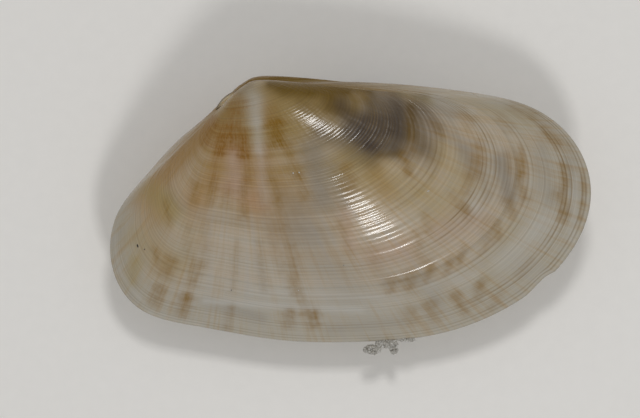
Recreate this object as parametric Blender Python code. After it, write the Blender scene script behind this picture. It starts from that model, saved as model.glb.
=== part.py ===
"""A closed wedge-shaped clam shell, lying on one of its two valves.

A bivalve grows at its margin, so every older growth line is the margin outline shrunk towards the beak
and turned about the hinge axis. A few margin points, the hinge axis and one growth rate give each valve.

Shapes are worked out in millimetres in the shell's own frame: the beak is the origin, +X runs to the long
rounded end, +Y to the hinge side, +Z out of the upper valve. An empty then lays the shell down at rest.
"""

import math

import bmesh
import bpy
import numpy as np
from mathutils import Euler, Matrix, Vector

MM = 0.001

# Margin of the closed shell, from the hinge down the short sloping end, along the free edge and back.
MARGIN = (
    (-0.33, -0.85),
    (-1.10, -1.40),
    (-2.08, -2.00),
    (-3.33, -2.60),
    (-5.67, -4.20),
    (-8.50, -7.25),
    (-10.83, -10.25),
    (-11.58, -13.25),
    (-10.92, -16.42),
    (-8.92, -18.67),
    (-4.08, -20.04),
    (2.58, -21.17),
    (9.25, -21.33),
    (15.92, -20.67),
    (21.75, -18.38),
    (25.92, -15.04),
    (28.21, -11.00),
    (28.38, -7.50),
    (26.75, -4.13),
    (23.42, -1.65),
    (18.42, -0.43),
    (12.58, 0.24),
    (5.92, 0.38),
    (1.70, -0.20),
)
KNOT_POWER = 0.75
STEPS_PER_POINT = 40

# Growth of a valve: the hinge axis rises to the long end, and a line shrunk to a share s of the margin
# has turned by GROWTH_TURN times the logarithm of 1 / s.
HINGE_AXIS_DEG = 20.0
GROWTH_TURN = 0.66
BEAK_RISE = 0.90
TIP_SHARE = 0.03

# Swell of the two sides that slope from the beak, which would otherwise be hollow beside the hinge.
HINGE_SWELL = 0.15
SWELL_POWER = 3.0

# Wall: the inside is the outer form shrunk about a point in the middle of the margin.
MIDDLE = (8.40, -10.40)
INSIDE_ALONG = 0.955
INSIDE_ACROSS = 0.93
INSIDE_DEEP = 0.84
HINGE_PLATE = 0.12
INNER_END_SHARE = 0.20

# The two flat rims keep this gap between them, as a shell that is not clenched does.
RIM_GAP = 0.30

# Faceting: columns and rows of a valve, whose outer rows draw closer at the beak, and of an oval body.
COLUMNS = 60
OUTER_ROWS = 21
INNER_ROWS = 9
ROW_POWER = 1.4
OVAL_COLUMNS = 14
OVAL_ROWS = 11

# At rest the shell lies on the belly of the lower valve, hinge side up, and its lowest spot is worn flat.
REST_TILT_DEG = 10.0
REST_ROLL_DEG = -0.5
WORN_DEPTH = 0.08

# Ligament: a short elastic pad over the joint of the two valves, on the short side of the beaks.
LIGAMENT_CENTRE = (-2.12, -1.20)
LIGAMENT_HALF = (1.30, 0.19, 0.80)
LIGAMENT_SLOPE_DEG = 222.0

# Crumb of sand that sticks to the free edge.
CRUMB_CENTRE = (11.05, -22.10)
CRUMB_HALF = (1.50, 0.40, 0.55)
CRUMB_LUMPS = 0.16

# Colour and roughness of each material.
SHELL_LOOK = ((0.46, 0.40, 0.31, 1.0), 0.30)
LIGAMENT_LOOK = ((0.52, 0.46, 0.36, 1.0), 0.45)
SAND_LOOK = ((0.50, 0.47, 0.42, 1.0), 0.85)
SMOOTH_ANGLE_DEG = 40.0


def clear_scene():
    """Removes whatever the scene holds."""
    for item in list(bpy.data.objects):
        bpy.data.objects.remove(item)


def closed_curve(points, count):
    """Smooth closed cubic curve through the points, as count places evenly spaced along it."""
    corners = np.asarray(points, float)
    total = len(corners)
    after = np.roll(corners, -1, axis=0)
    spans = np.linalg.norm(after - corners, axis=1) ** KNOT_POWER
    matrix = np.zeros((total, total))
    slopes = (after - corners) / spans[:, None]
    for i in range(total):
        matrix[i, i - 1] += spans[i - 1]
        matrix[i, i] += 2 * (spans[i - 1] + spans[i])
        matrix[i, (i + 1) % total] += spans[i]
    bends = np.linalg.solve(matrix, 6 * (slopes - np.roll(slopes, 1, axis=0)))
    steps = np.linspace(0, 1, STEPS_PER_POINT, endpoint=False)[None, :, None]
    span = spans[:, None, None]
    here = bends[:, None, :]
    there = np.roll(bends, -1, axis=0)[:, None, :]
    left = span * (1 - steps)
    right = span * steps
    dense = (
        (here * left**3 + there * right**3) / (6 * span)
        + (corners[:, None, :] / span - here * span / 6) * left
        + (after[:, None, :] / span - there * span / 6) * right
    ).reshape(-1, 2)
    looped = np.vstack([dense, dense[:1]])
    lengths = np.linalg.norm(np.diff(looped, axis=0), axis=1)
    travelled = np.concatenate([[0], np.cumsum(lengths)])
    wanted = travelled[-1] * np.arange(count) / count
    return np.stack([np.interp(wanted, travelled, looped[:, k]) for k in (0, 1)], axis=1)


def growth_lines(shares):
    """Outer growth lines of the upper valve, one row of points for each share of full size."""
    margin = closed_curve(MARGIN, COLUMNS)
    lean = math.radians(HINGE_AXIS_DEG)
    axis = np.array([math.cos(lean), math.sin(lean)])
    away = np.array([math.sin(lean), -math.cos(lean)])
    share = np.asarray(shares, float)[:, None]
    turn = GROWTH_TURN * np.log(1 / share)
    along = share * (margin @ axis)
    out = share * (margin @ away)
    flat = along[..., None] * axis + (out * np.cos(turn))[..., None] * away
    beside_hinge = (1 - (margin @ away) / (margin @ away).max()) ** 2
    reach = HINGE_SWELL * np.linalg.norm(margin, axis=1) * beside_hinge
    swell = reach * share * (1 - share**SWELL_POWER)
    height = out * np.sin(turn) + BEAK_RISE * (1 - share) + swell
    return np.concatenate([flat, height[..., None]], axis=2)


def inner_lines(lines):
    """The same lines drawn in by the wall, and further in beside the hinge, where the plate is wide."""
    x, y, z = np.moveaxis(lines, 2, 0)
    rise = np.maximum(y - MIDDLE[1], 0) / -MIDDLE[1]
    across = INSIDE_ACROSS - HINGE_PLATE * rise**2
    return np.stack(
        [
            MIDDLE[0] + (x - MIDDLE[0]) * INSIDE_ALONG,
            MIDDLE[1] + (y - MIDDLE[1]) * across,
            z * INSIDE_DEEP,
        ],
        axis=2,
    )


def valve_rings(side):
    """Closed rings from the beak over the outside to the rim and up the inside; side is +1 or -1."""
    fractions = np.linspace(0, 1, OUTER_ROWS) ** ROW_POWER
    outer = growth_lines(TIP_SHARE + (1 - TIP_SHARE) * fractions)
    inner = inner_lines(growth_lines(np.linspace(1, INNER_END_SHARE, INNER_ROWS)))
    rings = np.concatenate([outer, inner])
    rings[..., 2] = side * (rings[..., 2] + RIM_GAP / 2)
    return rings


def oval_rings(centre, half, slope_deg, lumps):
    """Rings of an oval body along a sloping line in the plane of the margin, with lumps as a share."""
    slope = math.radians(slope_deg)
    along = np.array([math.cos(slope), math.sin(slope), 0.0])
    across = np.array([math.sin(slope), -math.cos(slope), 0.0])
    upward = np.array([0.0, 0.0, 1.0])
    latitude = np.linspace(0, math.pi, OVAL_ROWS + 2)[1:-1, None]
    longitude = 2 * math.pi * np.arange(OVAL_COLUMNS)[None, :] / OVAL_COLUMNS
    wave = np.sin(3 * latitude + 2 * longitude) + np.cos(5 * latitude - longitude)
    size = 1 + lumps * wave / 2
    parts = (
        size * half[0] * np.cos(latitude) * np.ones_like(longitude),
        size * half[1] * np.sin(latitude) * np.cos(longitude),
        size * half[2] * np.sin(latitude) * np.sin(longitude),
    )
    middle = np.array([centre[0], centre[1], 0.0])
    return middle + sum(p[..., None] * d for p, d in zip(parts, (along, across, upward)))


def closed_mesh(name, rings):
    """Mesh of consecutive rings joined by quads, with both end rings filled and its faces outwards."""
    shape = bmesh.new()
    rows = [[shape.verts.new(point * MM) for point in ring] for ring in rings]
    for lower, upper in zip(rows, rows[1:]):
        for i, corner in enumerate(lower):
            j = (i + 1) % len(lower)
            shape.faces.new((corner, lower[j], upper[j], upper[i]))
    shape.faces.new(rows[0])
    shape.faces.new(rows[-1])
    bmesh.ops.triangulate(shape, faces=shape.faces[:])
    bmesh.ops.recalc_face_normals(shape, faces=shape.faces[:])
    mesh = bpy.data.meshes.new(name)
    shape.to_mesh(mesh)
    shape.free()
    return mesh


def wear_flat(mesh, point, down):
    """Cuts away what lies past the plane through point, and fills the cut with one flat face."""
    shape = bmesh.new()
    shape.from_mesh(mesh)
    everything = shape.verts[:] + shape.edges[:] + shape.faces[:]
    cut = bmesh.ops.bisect_plane(shape, geom=everything, plane_co=point, plane_no=down, clear_outer=True)
    edges = [item for item in cut["geom_cut"] if isinstance(item, bmesh.types.BMEdge)]
    bmesh.ops.edgeloop_fill(shape, edges=edges)
    bmesh.ops.recalc_face_normals(shape, faces=shape.faces[:])
    shape.to_mesh(mesh)
    shape.free()


def material(name, colour, roughness):
    """Plain non-metal surface of one colour."""
    made = bpy.data.materials.new(name)
    made.use_nodes = True
    shader = made.node_tree.nodes["Principled BSDF"]
    shader.inputs["Base Color"].default_value = colour
    shader.inputs["Roughness"].default_value = roughness
    shader.inputs["Metallic"].default_value = 0.0
    return made


def add_piece(name, mesh, finish, parent):
    """Object of a mesh in the shell's own frame, carried by the empty that lays the shell down."""
    mesh.materials.append(finish)
    piece = bpy.data.objects.new(name, mesh)
    bpy.context.collection.objects.link(piece)
    piece.parent = parent
    mesh.shade_smooth()
    mesh.set_sharp_from_angle(angle=math.radians(SMOOTH_ANGLE_DEG))
    return piece


def rest_matrix(meshes, lowest):
    """Turn that leans the shell on its belly, and the shift that puts its bottom centre at the origin."""
    turn = Euler((math.radians(REST_TILT_DEG), math.radians(REST_ROLL_DEG), 0.0), "XYZ").to_matrix()
    turned = [turn @ vertex.co for mesh in meshes for vertex in mesh.vertices]
    bottom = min((turn @ vertex.co).z for vertex in lowest.vertices) + WORN_DEPTH * MM
    middle_x = (min(p.x for p in turned) + max(p.x for p in turned)) / 2
    middle_y = (min(p.y for p in turned) + max(p.y for p in turned)) / 2
    return Matrix.Translation((-middle_x, -middle_y, -bottom)) @ turn.to_4x4()


def main():
    clear_scene()
    upper = closed_mesh("upper_valve", valve_rings(1))
    lower = closed_mesh("lower_valve", valve_rings(-1))
    ligament = closed_mesh(
        "ligament", oval_rings(LIGAMENT_CENTRE, LIGAMENT_HALF, LIGAMENT_SLOPE_DEG, 0.0)
    )
    crumb = closed_mesh("sand_crumb", oval_rings(CRUMB_CENTRE, CRUMB_HALF, 0.0, CRUMB_LUMPS))
    rest = rest_matrix((upper, lower, ligament, crumb), lower)
    back = rest.inverted()
    wear_flat(lower, back @ Vector((0, 0, 0)), back.to_3x3() @ Vector((0, 0, -1)))
    carrier = bpy.data.objects.new("shell_at_rest", None)
    carrier.matrix_world = rest
    bpy.context.collection.objects.link(carrier)
    shell = material("shell", *SHELL_LOOK)
    add_piece("upper_valve", upper, shell, carrier)
    add_piece("lower_valve", lower, shell, carrier)
    add_piece("ligament", ligament, material("ligament", *LIGAMENT_LOOK), carrier)
    add_piece("sand_crumb", crumb, material("sand", *SAND_LOOK), carrier)
    bpy.context.view_layer.update()


main()
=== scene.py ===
"""Looks of a closed wedge-shaped clam shell that lies on one valve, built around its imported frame.

Shapes are worked out in millimetres in the shell's own frame: the beak is the origin, +X runs to the long
rounded end, +Y to the hinge side and +Z out of the upper valve. RestPose then lays them down in metres.
"""

import logging
import math
from dataclasses import dataclass, field
from enum import Enum

import bpy
import numpy as np
from mathutils import Euler, Matrix, Vector


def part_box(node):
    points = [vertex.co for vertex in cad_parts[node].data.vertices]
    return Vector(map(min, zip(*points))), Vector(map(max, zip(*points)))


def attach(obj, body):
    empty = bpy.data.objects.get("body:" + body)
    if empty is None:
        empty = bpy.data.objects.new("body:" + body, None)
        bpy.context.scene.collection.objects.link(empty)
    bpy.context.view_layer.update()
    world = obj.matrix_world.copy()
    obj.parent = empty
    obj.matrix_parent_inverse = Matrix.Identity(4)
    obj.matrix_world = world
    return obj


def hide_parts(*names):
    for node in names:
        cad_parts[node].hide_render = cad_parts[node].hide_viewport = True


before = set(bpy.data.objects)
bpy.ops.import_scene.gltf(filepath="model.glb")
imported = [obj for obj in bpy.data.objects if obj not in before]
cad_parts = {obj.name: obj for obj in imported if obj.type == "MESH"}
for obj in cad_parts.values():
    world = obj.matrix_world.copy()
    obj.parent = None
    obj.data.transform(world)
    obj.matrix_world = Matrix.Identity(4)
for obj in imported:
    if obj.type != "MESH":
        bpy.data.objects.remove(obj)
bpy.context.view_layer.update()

Material = bpy.types.Material
Object = bpy.types.Object
Tree = bpy.types.NodeTree
Node = bpy.types.Node
Socket = bpy.types.NodeSocket

MM = 0.001
PHOTO_WIDTH_PX = 640
PX_PER_MM = 12.0
LOG = logging.getLogger("clam_shell")
# Sockets of the Mix node in colour mode: how much, the colour below, the colour above, and the result.
FACTOR, UNDER, OVER, MIXED = 0, 6, 7, 2
MIX_COLOUR = {"data_type": "RGBA"}
MULTIPLY = {"operation": "MULTIPLY"}


class Side(Enum):
    """Which valve: its outside faces up or down."""

    UPPER = 1
    LOWER = -1


class Tone(Enum):
    """Pigments and washes of the outside, each kept as one number per vertex."""

    OCHRE = "ochre"
    RUST = "rust"
    # Umber is partly the skin's own colour and partly painted shade on the band along the hinge that turns
    # away from the light.
    UMBER = "umber"
    OLIVE = "olive"
    ROSE = "rose"
    VIOLET = "violet"
    PALE = "pale"
    MIST = "mist"
    TAN = "tan"
    DUSK = "dusk"


# Pigments laid down in firm streaks; the others are soft washes.
STREAKS = (Tone.OCHRE, Tone.RUST)

# Marks of the outside, each picked in the photograph and then turned into mm of the shell's own frame:
# plan place of both ends, half width, strength.
MARKS: dict[Tone, tuple[tuple[float, ...], ...]] = {
    Tone.RUST: (
        (-0.9, -0.8, -2.0, -3.7, 1.17, 0.48), (-1.1, -1.7, -1.4, -3.6, 0.75, 0.42),
        (-2.3, -3.8, -2.4, -5.0, 0.58, 0.85), (-0.5, -3.5, -0.5, -5.3, 0.67, 0.80),
        (-1.5, -3.6, -1.5, -4.5, 0.50, 0.60), (-2.7, -5.0, -2.9, -7.3, 0.33, 0.40),
        (-0.2, -5.3, -0.2, -7.4, 0.50, 0.42), (-3.0, -2.3, -3.6, -4.2, 0.75, 0.55),
    ),
    Tone.OCHRE: (
        (1.9, -1.4, 2.1, -2.7, 0.75, 0.40), (2.2, -2.5, 2.4, -4.1, 0.83, 0.80),
        (3.1, -4.3, 3.9, -6.6, 0.67, 0.40), (4.0, -6.7, 4.6, -8.6, 0.58, 0.34),
        (1.5, -4.3, 1.7, -7.0, 0.50, 0.30), (-3.7, -3.1, -7.0, -7.3, 0.83, 0.25),
        (-4.4, -7.7, -4.6, -9.0, 0.50, 0.36), (-3.0, -7.5, -3.2, -9.1, 0.50, 0.42),
        (-1.8, -8.1, -1.9, -9.2, 0.58, 0.28), (-0.5, -7.9, -0.4, -10.1, 0.42, 0.40),
        (1.0, -8.4, 1.1, -10.1, 0.33, 0.20), (2.1, -7.3, 2.4, -9.0, 0.42, 0.34),
        (2.4, -9.1, 3.3, -12.4, 0.58, 0.24), (1.5, -9.3, 1.9, -12.3, 0.50, 0.20),
        (3.4, -12.8, 3.8, -16.8, 0.67, 0.40), (0.8, -12.5, 1.2, -16.5, 0.42, 0.30),
        (-1.0, -12.7, -1.3, -16.5, 0.33, 0.26), (2.1, -13.0, 2.6, -14.9, 0.42, 0.20),
        (4.4, -17.1, 4.7, -18.5, 0.50, 0.25), (3.4, -18.6, 3.3, -19.8, 0.67, 0.46),
        (5.3, -18.6, 5.4, -19.8, 0.67, 0.52), (-1.5, -18.3, -1.9, -20.2, 0.42, 0.34),
        (-6.4, -14.1, -6.8, -15.3, 0.67, 0.48), (-4.3, -14.4, -4.7, -16.0, 0.75, 0.40),
        (-7.4, -16.6, -7.9, -17.9, 0.67, 0.45), (-5.2, -17.3, -5.6, -18.8, 0.75, 0.55),
        (-6.9, -9.4, -6.6, -10.9, 0.33, 0.40), (-7.8, -13.3, -7.6, -14.4, 0.33, 0.35),
        (-5.0, -11.3, -5.1, -13.7, 0.50, 0.22), (-3.6, -11.1, -3.7, -14.3, 0.50, 0.22),
        (7.9, -6.0, 8.3, -7.9, 0.75, 0.42), (12.6, -5.2, 13.1, -6.5, 0.50, 0.60),
        (7.5, -10.7, 8.3, -13.2, 0.33, 0.25), (10.0, -12.6, 10.7, -15.2, 0.58, 0.20),
        (13.2, -1.7, 13.4, -4.7, 0.42, 0.35), (15.0, -2.8, 15.8, -3.7, 0.33, 0.35),
        (18.9, -4.6, 19.1, -5.7, 0.58, 0.45), (18.6, -5.9, 18.7, -6.8, 0.50, 0.42),
        (18.0, -7.1, 18.0, -8.3, 0.50, 0.38), (16.8, -8.6, 17.4, -9.5, 0.50, 0.35),
        (17.8, -9.6, 18.1, -10.3, 0.42, 0.42), (14.5, -10.2, 14.7, -11.4, 0.50, 0.35),
        (13.7, -11.6, 14.0, -12.6, 0.33, 0.32), (22.5, -5.2, 22.6, -7.0, 0.50, 0.60),
        (21.5, -5.2, 21.5, -6.6, 0.42, 0.25), (22.3, -7.1, 22.8, -9.0, 0.58, 0.45),
        (21.5, -9.3, 21.8, -10.3, 0.58, 0.48), (20.5, -11.1, 20.6, -12.2, 0.50, 0.48),
        (19.5, -10.7, 19.8, -12.5, 0.67, 0.20), (20.0, -12.3, 19.3, -13.3, 0.42, 0.28),
        (26.1, -6.6, 26.3, -7.9, 0.50, 0.52), (25.9, -8.6, 26.3, -10.7, 0.67, 0.60),
        (24.5, -3.5, 25.6, -4.6, 0.50, 0.50), (25.6, -4.2, 26.4, -4.9, 0.42, 0.38),
        (21.9, -1.5, 23.5, -2.3, 0.58, 0.35), (23.7, -2.4, 24.9, -3.4, 0.50, 0.25),
        (27.8, -7.4, 27.9, -8.5, 0.25, 0.38), (27.8, -9.3, 27.6, -10.9, 0.25, 0.38),
        (17.7, -13.2, 17.4, -14.3, 0.42, 0.45), (16.7, -14.1, 16.4, -14.9, 0.50, 0.48),
        (15.0, -14.7, 14.7, -15.6, 0.42, 0.45), (13.4, -15.2, 13.2, -16.3, 0.67, 0.46),
        (11.9, -15.7, 11.7, -16.6, 0.67, 0.40), (19.3, -16.2, 19.0, -17.5, 0.58, 0.42),
        (17.2, -17.2, 18.0, -18.7, 0.50, 0.48), (15.0, -17.9, 15.4, -19.5, 0.75, 0.36),
        (13.4, -18.4, 13.6, -19.7, 0.67, 0.28), (20.9, -17.3, 20.2, -18.3, 0.50, 0.28),
        (23.4, -14.5, 22.5, -15.6, 0.50, 0.24), (17.7, -1.8, 18.3, -2.6, 0.58, 0.30),
        (20.8, -2.4, 21.5, -3.2, 0.58, 0.25), (10.1, -6.0, 10.9, -7.8, 0.83, 0.14),
    ),
    # Umber along the hinge side is partly painted shade of the band that turns away from the light.
    Tone.UMBER: (
        (-0.8, -0.2, 0.1, 0.5, 0.33, 0.35), (1.8, 0.6, 5.0, 0.3, 0.50, 0.85),
        (5.0, 0.3, 7.9, 0.1, 0.50, 0.90), (7.9, 0.2, 9.9, -0.0, 0.50, 0.65),
        (9.9, 0.1, 11.9, -0.1, 0.42, 0.40), (11.9, -0.0, 14.6, -0.3, 0.42, 0.22),
        (2.9, -0.1, 6.7, -0.5, 0.50, 0.40), (6.7, -0.5, 9.6, -0.8, 0.50, 0.35),
        (4.2, -0.9, 7.0, -1.6, 0.50, 0.25), (10.6, -5.1, 12.3, -5.0, 0.33, 0.45),
        (6.6, -1.2, 8.3, -1.6, 0.58, 0.45), (13.3, -1.4, 13.4, -3.6, 0.58, 0.70),
        (2.5, 0.2, 6.5, 0.3, 0.65, 0.40),
    ),
    Tone.TAN: (
        (-3.7, -3.1, -7.6, -7.5, 1.25, 0.70), (-2.0, -4.8, -4.1, -9.0, 1.17, 0.58),
        (-0.4, -5.6, 0.1, -9.3, 1.17, 0.52), (1.1, -1.2, 1.5, -2.2, 0.83, 0.35),
        (-9.1, -8.9, -7.4, -10.4, 1.17, 0.25), (2.1, -5.9, 4.2, -9.6, 1.08, 0.30),
        (10.1, -6.0, 11.4, -8.1, 0.92, 0.50), (-8.3, -9.2, -7.0, -14.4, 1.50, 0.34),
        (-5.0, -8.6, -4.1, -12.4, 1.17, 0.28), (2.5, -8.0, 2.1, -13.1, 1.00, 0.34),
    ),
    Tone.DUSK: (
        (6.7, -0.9, 8.5, -2.2, 0.75, 0.54), (6.0, -3.2, 9.8, -5.3, 0.92, 0.70),
        (4.6, -1.7, 6.2, -3.0, 0.75, 0.30), (14.5, -1.7, 15.7, -3.0, 0.67, 0.48),
        (10.1, -4.9, 12.8, -5.2, 0.58, 0.40), (11.3, -16.0, 13.8, -15.8, 0.67, 0.22),
        (16.8, -3.7, 18.2, -5.7, 0.75, 0.28), (7.0, -6.3, 7.9, -8.7, 1.00, 0.44),
        (4.7, -4.6, 6.0, -8.4, 0.92, 0.26), (12.1, -1.2, 12.8, -4.7, 0.83, 0.50),
        (8.5, -5.3, 10.1, -5.8, 0.58, 0.42), (13.0, -3.9, 15.0, -5.4, 0.75, 0.36),
        (14.5, -14.2, 15.5, -17.4, 1.00, 0.16), (4.1, -9.2, 7.9, -10.0, 0.75, 0.14),
    ),
    Tone.PALE: (
        (-4.1, -16.6, 10.8, -17.7, 2.00, 0.30), (-5.8, -12.4, 1.7, -14.2, 1.83, 0.26),
        (-5.0, -19.2, 4.2, -20.2, 0.67, 0.08), (-1.2, -5.3, -0.8, -8.0, 0.83, 0.20),
        (-0.0, -0.0, 0.4, -1.1, 1.00, 0.32), (0.5, -0.7, 0.5, -2.4, 0.67, 0.42),
        (0.7, -2.4, 0.8, -4.7, 0.50, 0.38), (1.0, -4.7, 1.2, -8.9, 0.42, 0.20),
        (-3.7, -17.7, 9.3, -18.4, 0.33, 0.60), (0.1, -16.8, 12.5, -17.3, 0.33, 0.35),
        (18.3, -8.6, 18.7, -9.7, 0.67, 0.40), (20.8, -14.4, 24.6, -11.1, 1.08, 0.45),
        (15.0, -16.3, 18.8, -15.3, 0.67, 0.35), (27.1, -7.7, 26.9, -12.7, 0.42, 0.35),
        (15.2, -0.7, 18.4, -1.8, 0.42, 0.35), (-11.3, -11.7, -11.1, -14.5, 0.25, 0.25),
        (-10.9, -15.2, -8.2, -18.8, 0.25, 0.35), (-8.2, -18.8, -4.1, -19.8, 0.25, 0.40),
        (2.1, 0.8, 8.0, 0.4, 0.12, 0.12),
    ),
    Tone.OLIVE: (
        (-8.2, -8.4, -6.6, -10.4, 1.17, 0.45), (-7.0, -8.8, -6.2, -10.0, 0.75, 0.40),
        (-9.1, -12.5, -6.6, -14.3, 1.50, 0.32), (-9.4, -14.4, -9.8, -16.2, 0.58, 0.50),
        (8.3, -5.8, 15.4, -9.3, 2.00, 0.38), (15.8, -4.8, 17.9, -8.1, 1.17, 0.30),
        (12.5, -0.2, 15.0, -0.8, 0.50, 0.50), (16.7, -0.7, 23.3, -2.6, 0.83, 0.25),
        (21.7, -11.7, 20.0, -15.2, 1.33, 0.20), (-4.9, -12.0, -5.4, -14.3, 1.17, 0.25),
    ),
    Tone.MIST: (
        (2.9, -8.8, 5.0, -11.5, 1.33, 0.35), (26.7, -6.0, 27.1, -8.5, 0.67, 0.25),
        (5.4, -4.6, 6.0, -8.7, 1.08, 0.60), (20.8, -5.9, 21.5, -8.8, 0.83, 0.75),
        (17.9, -4.9, 18.3, -7.0, 0.67, 0.40), (-6.6, -8.8, -5.8, -9.7, 0.75, 0.30),
        (24.2, -5.1, 24.8, -9.3, 0.83, 0.30), (-3.6, -17.8, 1.0, -19.1, 0.58, 0.40),
        (4.2, -11.8, 8.4, -16.6, 2.00, 0.30), (14.6, -0.7, 16.7, -1.8, 0.83, 0.60),
        (6.8, -20.2, 12.6, -19.5, 0.67, 0.30), (19.2, -6.5, 19.7, -8.7, 0.58, 0.30),
        (-4.1, -10.2, 6.7, -11.8, 0.83, 0.20),
    ),
    Tone.ROSE: (
        (-1.2, -4.9, -1.1, -7.5, 0.75, 0.50), (-1.8, -7.9, 1.0, -9.3, 0.83, 0.35),
        (1.0, -4.7, 1.0, -8.0, 0.67, 0.30), (10.4, -13.6, 12.7, -13.1, 1.17, 0.30),
        (15.8, -11.6, 18.7, -10.5, 1.17, 0.25), (7.9, -10.0, 8.4, -12.6, 0.67, 0.25),
    ),
    Tone.VIOLET: (
        (10.2, -1.2, 12.3, -1.4, 0.75, 0.45), (9.5, -2.2, 12.1, -2.3, 0.92, 0.66),
        (9.2, -3.2, 12.1, -3.4, 0.92, 0.70), (9.8, -4.2, 11.8, -4.5, 0.75, 0.58),
        (7.9, -3.3, 10.1, -4.6, 0.67, 0.50), (7.6, -1.1, 8.4, -2.8, 0.83, 0.44),
        (10.4, -0.5, 12.2, -0.7, 0.58, 0.36), (13.8, -1.4, 14.5, -4.3, 1.17, 0.42),
    ),
}


def linear(hex_text: str) -> tuple[float, float, float, float]:
    """Turns an sRGB hex colour into the linear colour that a shader takes.

    Args:
        hex_text: Six hex digits, such as "c8b89a".

    Returns:
        Red, green, blue and an alpha of one.
    """
    parts = [int(hex_text[i : i + 2], 16) / 255 for i in (0, 2, 4)]
    light = [p / 12.92 if p <= 0.04045 else ((p + 0.055) / 1.055) ** 2.4 for p in parts]
    return (light[0], light[1], light[2], 1.0)


def fill(tree: Tree, node: Node, inputs: dict) -> None:
    """Sets or links sockets of a node.

    Args:
        tree: The material's node tree.
        node: The node.
        inputs: Socket names or numbers, with a value or with the output socket to link.
    """
    for name, value in inputs.items():
        socket = node.inputs[name]
        if isinstance(value, Socket):
            tree.links.new(value, socket)
        else:
            socket.default_value = value


def add_node(tree: Tree, kind: str, settings: dict | None = None, inputs: dict | None = None) -> Node:
    """Adds one shader node, sets its properties, and fills or links its sockets.

    Args:
        tree: The material's node tree.
        kind: Blender's type name of the node, without its ShaderNode.
        settings: Property names and values.
        inputs: Socket names or numbers, with a value or with the output socket to link.

    Returns:
        The new node.
    """
    node = tree.nodes.new(f"ShaderNode{kind}")
    for name, value in (settings or {}).items():
        setattr(node, name, value)
    fill(tree, node, inputs or {})
    return node


def new_material(name: str) -> tuple[Material, Tree, Node]:
    """Makes a material with only a Principled shader and its output.

    Args:
        name: The real material's name.

    Returns:
        The material, its node tree and the shader node.
    """
    made = bpy.data.materials.new(name)
    made.use_nodes = True
    tree = made.node_tree
    return made, tree, tree.nodes["Principled BSDF"]


def smooth_step(values: np.ndarray, low: float, high: float) -> np.ndarray:
    """Rises from 0 at low to 1 at high along 3t^2 - 2t^3; falls if high is below low."""
    t = np.clip((values - low) / (high - low), 0, 1)
    return t * t * (3 - 2 * t)


def grid_faces(rows: int, columns: int) -> np.ndarray:
    """Quads between rows of a grid whose columns run round in a ring.

    Args:
        rows: Number of rings.
        columns: Number of points in a ring.

    Returns:
        One row of four vertex numbers per quad, ring by ring.
    """
    ring = np.arange(rows - 1)[:, None] * columns
    here = np.arange(columns)[None, :]
    there = (here + 1) % columns
    corners = [ring + here, ring + there, ring + columns + there, ring + columns + here]
    return np.stack(corners, axis=2).reshape(-1, 4)


def capped_rings(rings: np.ndarray) -> tuple[np.ndarray, list[np.ndarray]]:
    """Closed surface of consecutive rings, with a point and a fan of triangles at each end.

    Args:
        rings: Points as rings x columns x 3.

    Returns:
        All points, and the faces as [quads, fan at the first ring, fan at the last ring], facing outwards.
    """
    rows, columns, _ = rings.shape
    points = np.concatenate([rings.reshape(-1, 3), rings[:1].mean(axis=1), rings[-1:].mean(axis=1)])
    quads = grid_faces(rows, columns)
    here = np.arange(columns)
    there = (here + 1) % columns
    last = (rows - 1) * columns
    first_fan = np.stack([there, here, np.full(columns, rows * columns)], 1)
    last_fan = np.stack([last + here, last + there, np.full(columns, rows * columns + 1)], 1)
    faces = [quads, first_fan, last_fan]
    corner = points[quads]
    spans = np.cross(corner[:, 1] - corner[:, 0], corner[:, 2] - corner[:, 0])
    spans += np.cross(corner[:, 2] - corner[:, 0], corner[:, 3] - corner[:, 0])
    if (spans * corner.mean(axis=1)).sum() < 0:
        faces = [part[:, ::-1] for part in faces]
    return points, faces


def make_piece(
    name: str,
    points: np.ndarray,
    faces: list[np.ndarray],
    finishes: list[Material],
    finish_of_face: np.ndarray | None = None,
) -> Object:
    """Puts a computed surface into a smooth-shaded object that stands at the origin.

    Args:
        name: The piece's name.
        points: Vertex places in metres, in the row frame.
        faces: Arrays of faces, each with the same number of corners throughout.
        finishes: The piece's materials.
        finish_of_face: For each face, which material it takes.

    Returns:
        The linked object.
    """
    mesh = bpy.data.meshes.new(name)
    corners = np.concatenate([part.ravel() for part in faces])
    counts = np.concatenate([np.full(len(part), part.shape[1]) for part in faces])
    mesh.vertices.add(len(points))
    mesh.vertices.foreach_set("co", np.asarray(points, np.float32).ravel())
    mesh.loops.add(len(corners))
    mesh.loops.foreach_set("vertex_index", corners.astype(np.int32))
    mesh.polygons.add(len(counts))
    mesh.polygons.foreach_set("loop_start", (np.cumsum(counts) - counts).astype(np.int32))
    for finish in finishes:
        mesh.materials.append(finish)
    if finish_of_face is not None:
        mesh.polygons.foreach_set("material_index", finish_of_face.astype(np.int32))
    mesh.update(calc_edges=True)
    mesh.validate()
    mesh.shade_smooth()
    piece = bpy.data.objects.new(name, mesh)
    bpy.context.collection.objects.link(piece)
    return piece


def store_number(piece: Object, name: str, values: np.ndarray) -> None:
    """Keeps one number per vertex under a name that a material can read."""
    kept = piece.data.attributes.new(name, "FLOAT", "POINT")
    kept.data.foreach_set("value", np.asarray(values, np.float32).ravel())


def store_vector(piece: Object, name: str, values: np.ndarray) -> None:
    """Keeps three numbers per vertex under a name that a material can read."""
    kept = piece.data.attributes.new(name, "FLOAT_VECTOR", "POINT")
    kept.data.foreach_set("vector", np.asarray(values, np.float32).ravel())


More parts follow.
